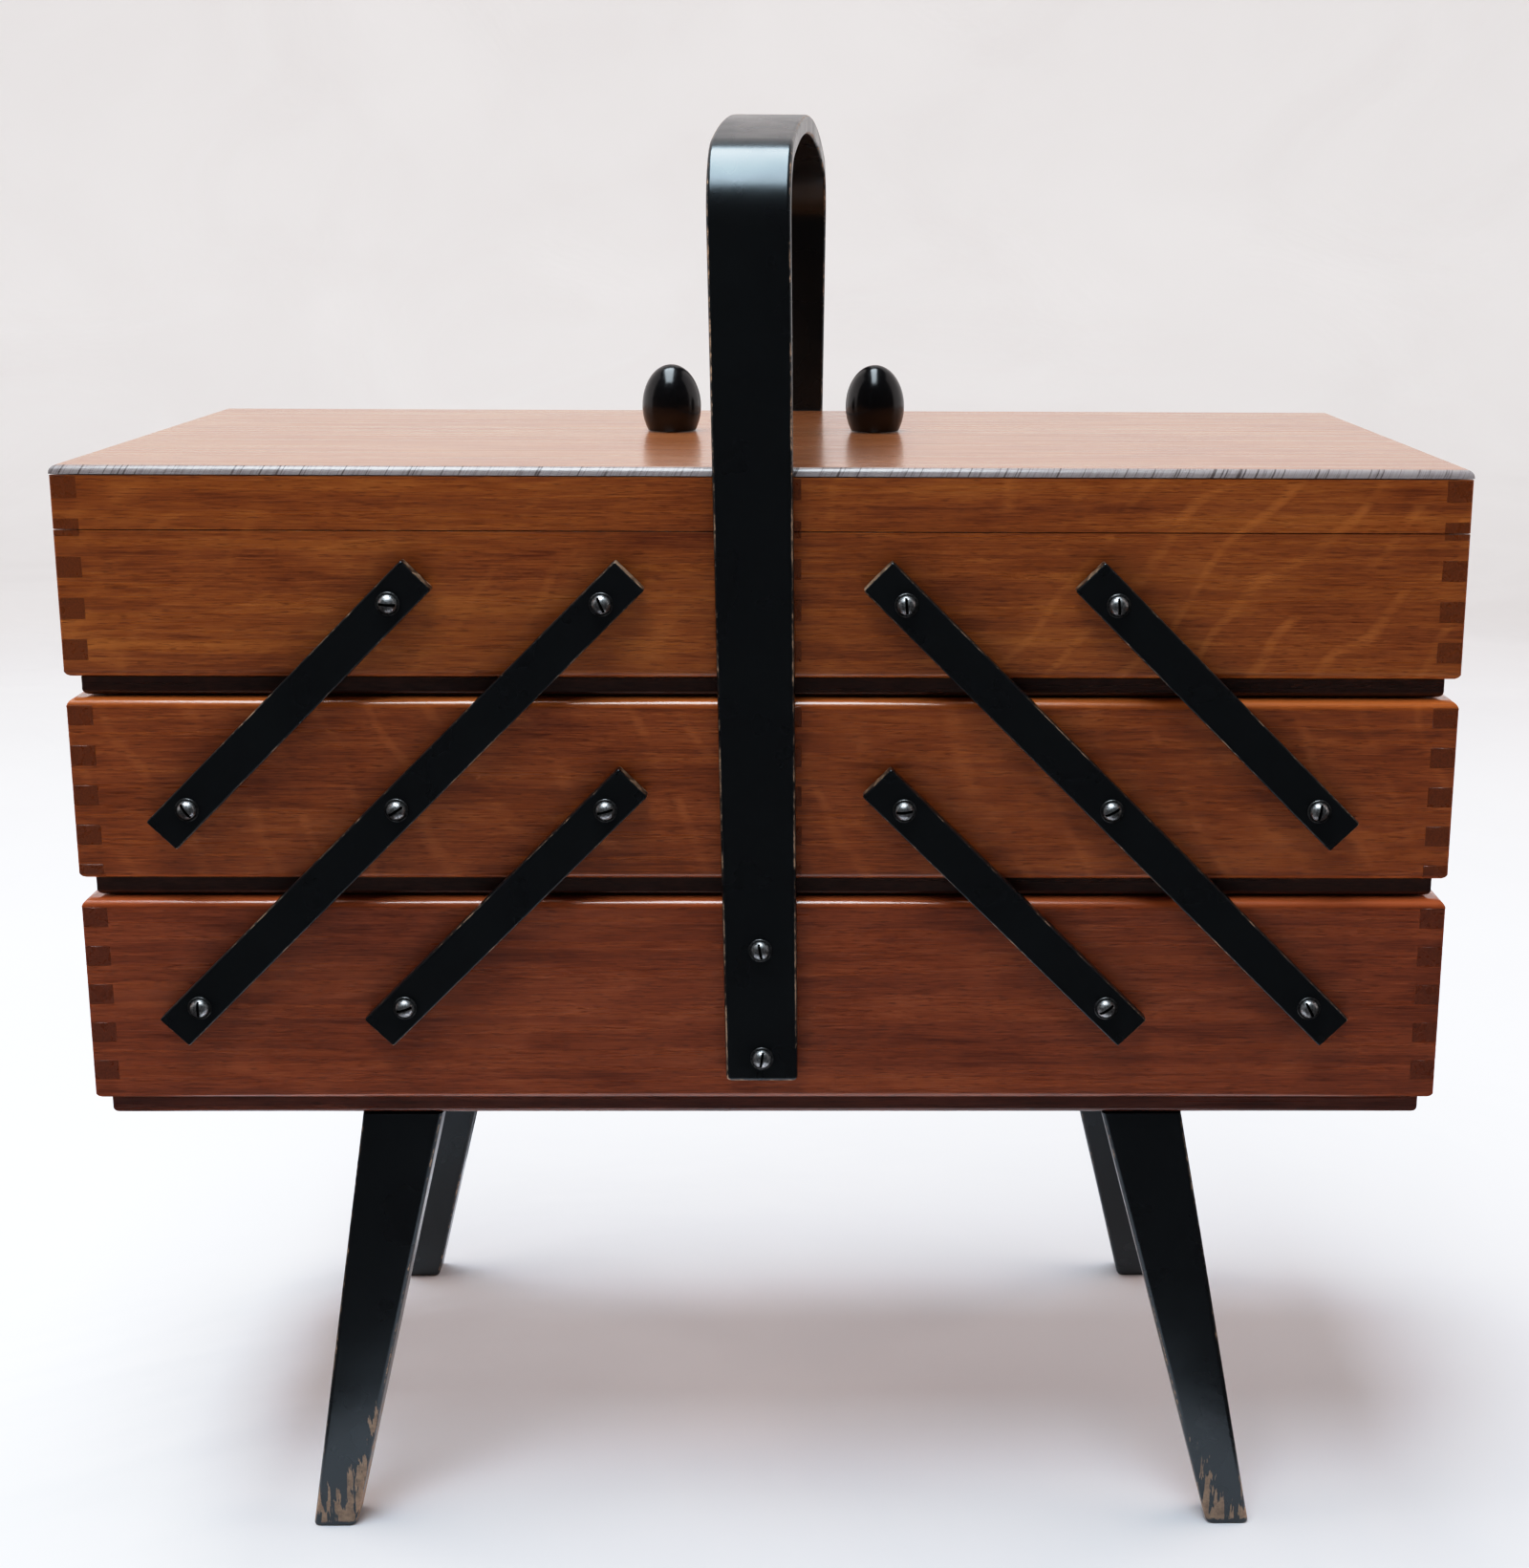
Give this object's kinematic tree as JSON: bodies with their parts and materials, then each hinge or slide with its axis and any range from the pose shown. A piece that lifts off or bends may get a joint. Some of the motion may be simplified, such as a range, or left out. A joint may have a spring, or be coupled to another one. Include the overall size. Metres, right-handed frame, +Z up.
{
  "type": "cantilever sewing box",
  "caption": "Wooden cantilever sewing box on tapered legs, with a carrying handle, lidded upper trays and middle trays that swing out to both sides on pivoted arms.",
  "frame": {"origin": "on the floor, under the middle of the box", "axes": "+Z up, -Y towards the front, +X along the box to the right as seen from the front"},
  "size_m": [0.4374, 0.2296, 0.4645],
  "materials": {
    "varnished_wood": "reddish brown varnish, semi-gloss, fine straight grain",
    "black_paint": "wood with black gloss paint, worn at the edges",
    "screw_steel": "nickel plated, satin",
    "hinge_brass": "dulled"
  },
  "bodies": {
    "box": {"lower_box_frame": "varnished_wood", "lower_box_base": "varnished_wood", "front_left_leg": "black_paint", "front_right_leg": "black_paint", "rear_left_leg": "black_paint", "rear_right_leg": "black_paint", "handle": "black_paint", "handle_front_lower_screw": "screw_steel", "handle_front_upper_screw": "screw_steel", "handle_rear_lower_screw": "screw_steel", "handle_rear_upper_screw": "screw_steel", "left_long_arm_lower_screw": "screw_steel", "left_lower_short_arm_lower_screw": "screw_steel", "right_long_arm_lower_screw": "screw_steel", "right_lower_short_arm_lower_screw": "screw_steel"},
    "left_long_arms": {"left_long_arm_front": "black_paint", "left_long_arm_rear": "black_paint"},
    "left_lower_short_arms": {"left_lower_short_arm_front": "black_paint", "left_lower_short_arm_rear": "black_paint"},
    "left_upper_short_arms": {"left_upper_short_arm_front": "black_paint", "left_upper_short_arm_rear": "black_paint"},
    "left_middle_tray": {"left_middle_tray_frame": "varnished_wood", "left_middle_tray_base": "varnished_wood", "left_long_arm_middle_screw": "screw_steel", "left_lower_short_arm_middle_screw": "screw_steel", "left_upper_short_arm_middle_screw": "screw_steel"},
    "left_upper_tray": {"left_upper_tray_frame": "varnished_wood", "left_upper_tray_base": "varnished_wood", "left_long_arm_upper_screw": "screw_steel", "left_upper_short_arm_upper_screw": "screw_steel", "left_front_hinge_tray_leaf": "hinge_brass", "left_rear_hinge_tray_leaf": "hinge_brass"},
    "left_lid": {"left_lid_frame": "varnished_wood", "left_lid_top": "varnished_wood", "left_knob": "black_paint", "left_front_hinge_lid_leaf": "hinge_brass", "left_rear_hinge_lid_leaf": "hinge_brass"},
    "right_long_arms": {"right_long_arm_front": "black_paint", "right_long_arm_rear": "black_paint"},
    "right_lower_short_arms": {"right_lower_short_arm_front": "black_paint", "right_lower_short_arm_rear": "black_paint"},
    "right_upper_short_arms": {"right_upper_short_arm_front": "black_paint", "right_upper_short_arm_rear": "black_paint"},
    "right_middle_tray": {"right_middle_tray_frame": "varnished_wood", "right_middle_tray_base": "varnished_wood", "right_long_arm_middle_screw": "screw_steel", "right_lower_short_arm_middle_screw": "screw_steel", "right_upper_short_arm_middle_screw": "screw_steel"},
    "right_upper_tray": {"right_upper_tray_frame": "varnished_wood", "right_upper_tray_base": "varnished_wood", "right_long_arm_upper_screw": "screw_steel", "right_upper_short_arm_upper_screw": "screw_steel", "right_front_hinge_tray_leaf": "hinge_brass", "right_rear_hinge_tray_leaf": "hinge_brass"},
    "right_lid": {"right_lid_frame": "varnished_wood", "right_lid_top": "varnished_wood", "right_knob": "black_paint", "right_front_hinge_lid_leaf": "hinge_brass", "right_rear_hinge_lid_leaf": "hinge_brass"}
  },
  "joints": [
    {"name": "left_long_arm_pivot", "type": "hinge", "parent": "box", "child": "left_long_arms", "pos_m": [-0.178, 0, 0.1888], "axis": [0, -1, 0], "range_deg": [0, 90]},
    {"name": "left_lower_short_arm_pivot", "type": "hinge", "parent": "box", "child": "left_lower_short_arms", "pos_m": [-0.1137, 0, 0.1888], "axis": [0, -1, 0], "range_deg": [0, 90]},
    {"name": "left_middle_tray_pivot", "type": "hinge", "parent": "left_long_arms", "child": "left_middle_tray", "pos_m": [-0.1137, 0, 0.2531], "axis": [0, -1, 0], "range_deg": [-90, 0]},
    {"name": "left_upper_tray_pivot", "type": "hinge", "parent": "left_long_arms", "child": "left_upper_tray", "pos_m": [-0.0494, 0, 0.3174], "axis": [0, -1, 0], "range_deg": [-90, 0]},
    {"name": "left_upper_short_arm_pivot", "type": "hinge", "parent": "left_middle_tray", "child": "left_upper_short_arms", "pos_m": [-0.178, 0, 0.2531], "axis": [0, -1, 0], "range_deg": [0, 90]},
    {"name": "left_lid_hinge", "type": "hinge", "parent": "left_upper_tray", "child": "left_lid", "pos_m": [-0.217, 0, 0.33865], "axis": [0, -1, 0], "range_deg": [0, 180]},
    {"name": "right_long_arm_pivot", "type": "hinge", "parent": "box", "child": "right_long_arms", "pos_m": [0.1716, 0, 0.1888], "axis": [0, 1, 0], "range_deg": [0, 90]},
    {"name": "right_lower_short_arm_pivot", "type": "hinge", "parent": "box", "child": "right_lower_short_arms", "pos_m": [0.1073, 0, 0.1888], "axis": [0, 1, 0], "range_deg": [0, 90]},
    {"name": "right_middle_tray_pivot", "type": "hinge", "parent": "right_long_arms", "child": "right_middle_tray", "pos_m": [0.1073, 0, 0.2531], "axis": [0, 1, 0], "range_deg": [-90, 0]},
    {"name": "right_upper_tray_pivot", "type": "hinge", "parent": "right_long_arms", "child": "right_upper_tray", "pos_m": [0.043, 0, 0.3174], "axis": [0, 1, 0], "range_deg": [-90, 0]},
    {"name": "right_upper_short_arm_pivot", "type": "hinge", "parent": "right_middle_tray", "child": "right_upper_short_arms", "pos_m": [0.1716, 0, 0.2531], "axis": [0, 1, 0], "range_deg": [0, 90]},
    {"name": "right_lid_hinge", "type": "hinge", "parent": "right_upper_tray", "child": "right_lid", "pos_m": [0.217, 0, 0.33865], "axis": [0, 1, 0], "range_deg": [0, 180]}
  ],
  "couplings": [
    {"joint": "left_lower_short_arm_pivot", "follows": "left_long_arm_pivot", "ratio": 1},
    {"joint": "left_middle_tray_pivot", "follows": "left_long_arm_pivot", "ratio": -1},
    {"joint": "left_upper_tray_pivot", "follows": "left_long_arm_pivot", "ratio": -1},
    {"joint": "left_upper_short_arm_pivot", "follows": "left_long_arm_pivot", "ratio": 1},
    {"joint": "right_lower_short_arm_pivot", "follows": "right_long_arm_pivot", "ratio": 1},
    {"joint": "right_middle_tray_pivot", "follows": "right_long_arm_pivot", "ratio": -1},
    {"joint": "right_upper_tray_pivot", "follows": "right_long_arm_pivot", "ratio": -1},
    {"joint": "right_upper_short_arm_pivot", "follows": "right_long_arm_pivot", "ratio": 1}
  ]
}
